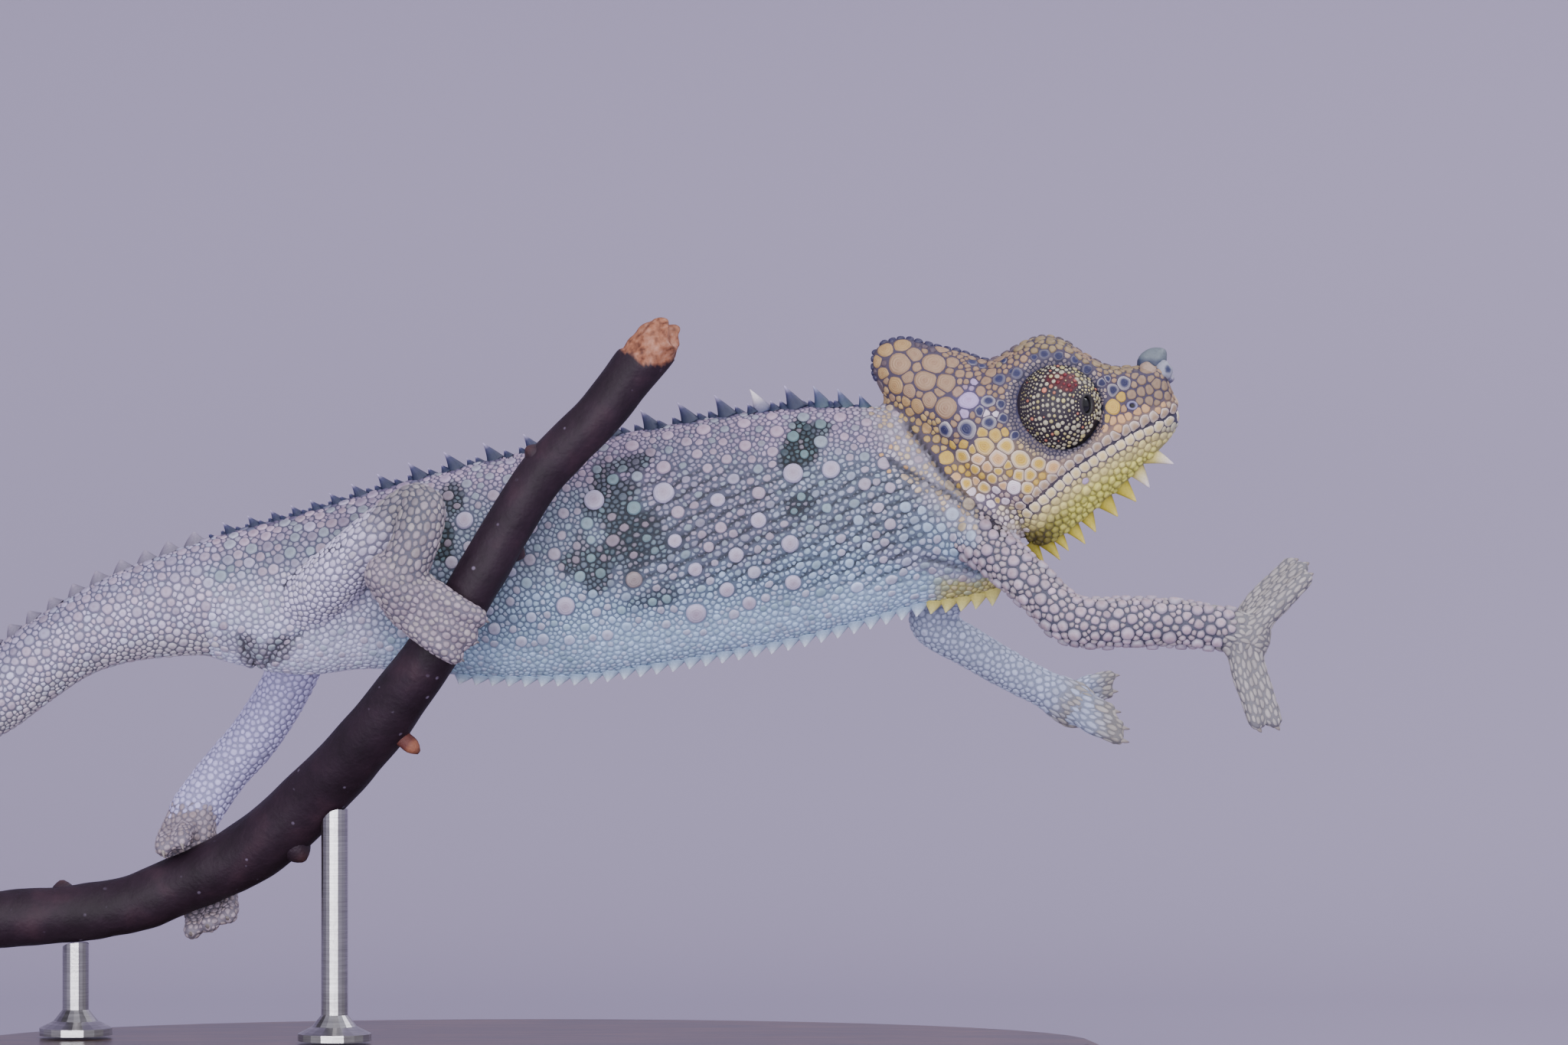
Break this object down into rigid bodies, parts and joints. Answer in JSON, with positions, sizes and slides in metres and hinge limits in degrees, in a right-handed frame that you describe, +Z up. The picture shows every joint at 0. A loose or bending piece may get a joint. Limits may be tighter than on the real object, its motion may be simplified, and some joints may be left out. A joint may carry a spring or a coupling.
{
  "type": "helmeted chameleon",
  "caption": "Helmeted chameleon striding off a thin branch with its front feet reaching out, a still life-size display model on a flat oval stand",
  "frame": {"origin": "the centre of the underside of the stand's oval base, the face the model stands on", "axes": "+Z up, the animal looks along +X and its right side faces -Y, so the picture's camera looks along +Y"},
  "size_m": [0.1592, 0.062, 0.0783],
  "materials": {
    "body_skin": "granular reptile skin, lilac grey with dark green patches and round tubercles, satin",
    "head_skin": "polygonal tan and ochre head tiles with dark blue grooves, satin",
    "jaw_skin": "yellow throat scales with white tipped cones, satin",
    "turret_skin": "rows of small cream grains on dark grooves, satin",
    "limb_skin": "round pinkish and olive tubercles on dark grooves, satin",
    "eye": "wet glossy black",
    "bark": "thin dark purple-brown bark, satin",
    "base_wood": "dark stained wood, satin varnish",
    "rod_steel": "fine brushed steel"
  },
  "bodies": {
    "root": {"chest": "body_skin", "eye_turret_left": "turret_skin", "eye_turret_right": "turret_skin", "eyeball_left": "eye", "eyeball_right": "eye", "foot_left": "limb_skin", "foot_right": "limb_skin", "forearm_left": "limb_skin", "forearm_right": "limb_skin", "hand_left": "limb_skin", "hand_right": "limb_skin", "head": "head_skin", "lower_jaw": "jaw_skin", "neck": "body_skin", "pelvis": "body_skin", "perch_branch": "bark", "shank_left": "limb_skin", "shank_right": "limb_skin", "stand_base": "base_wood", "stand_rod_back": "rod_steel", "stand_rod_front": "rod_steel", "tail_1": "body_skin", "tail_2": "body_skin", "tail_3": "body_skin", "tail_4": "body_skin", "tail_5": "body_skin", "tail_6": "body_skin", "tail_7": "body_skin", "tail_8": "body_skin", "thigh_left": "limb_skin", "thigh_right": "limb_skin", "torso": "body_skin", "upper_arm_left": "limb_skin", "upper_arm_right": "limb_skin"}
  },
  "joints": []
}
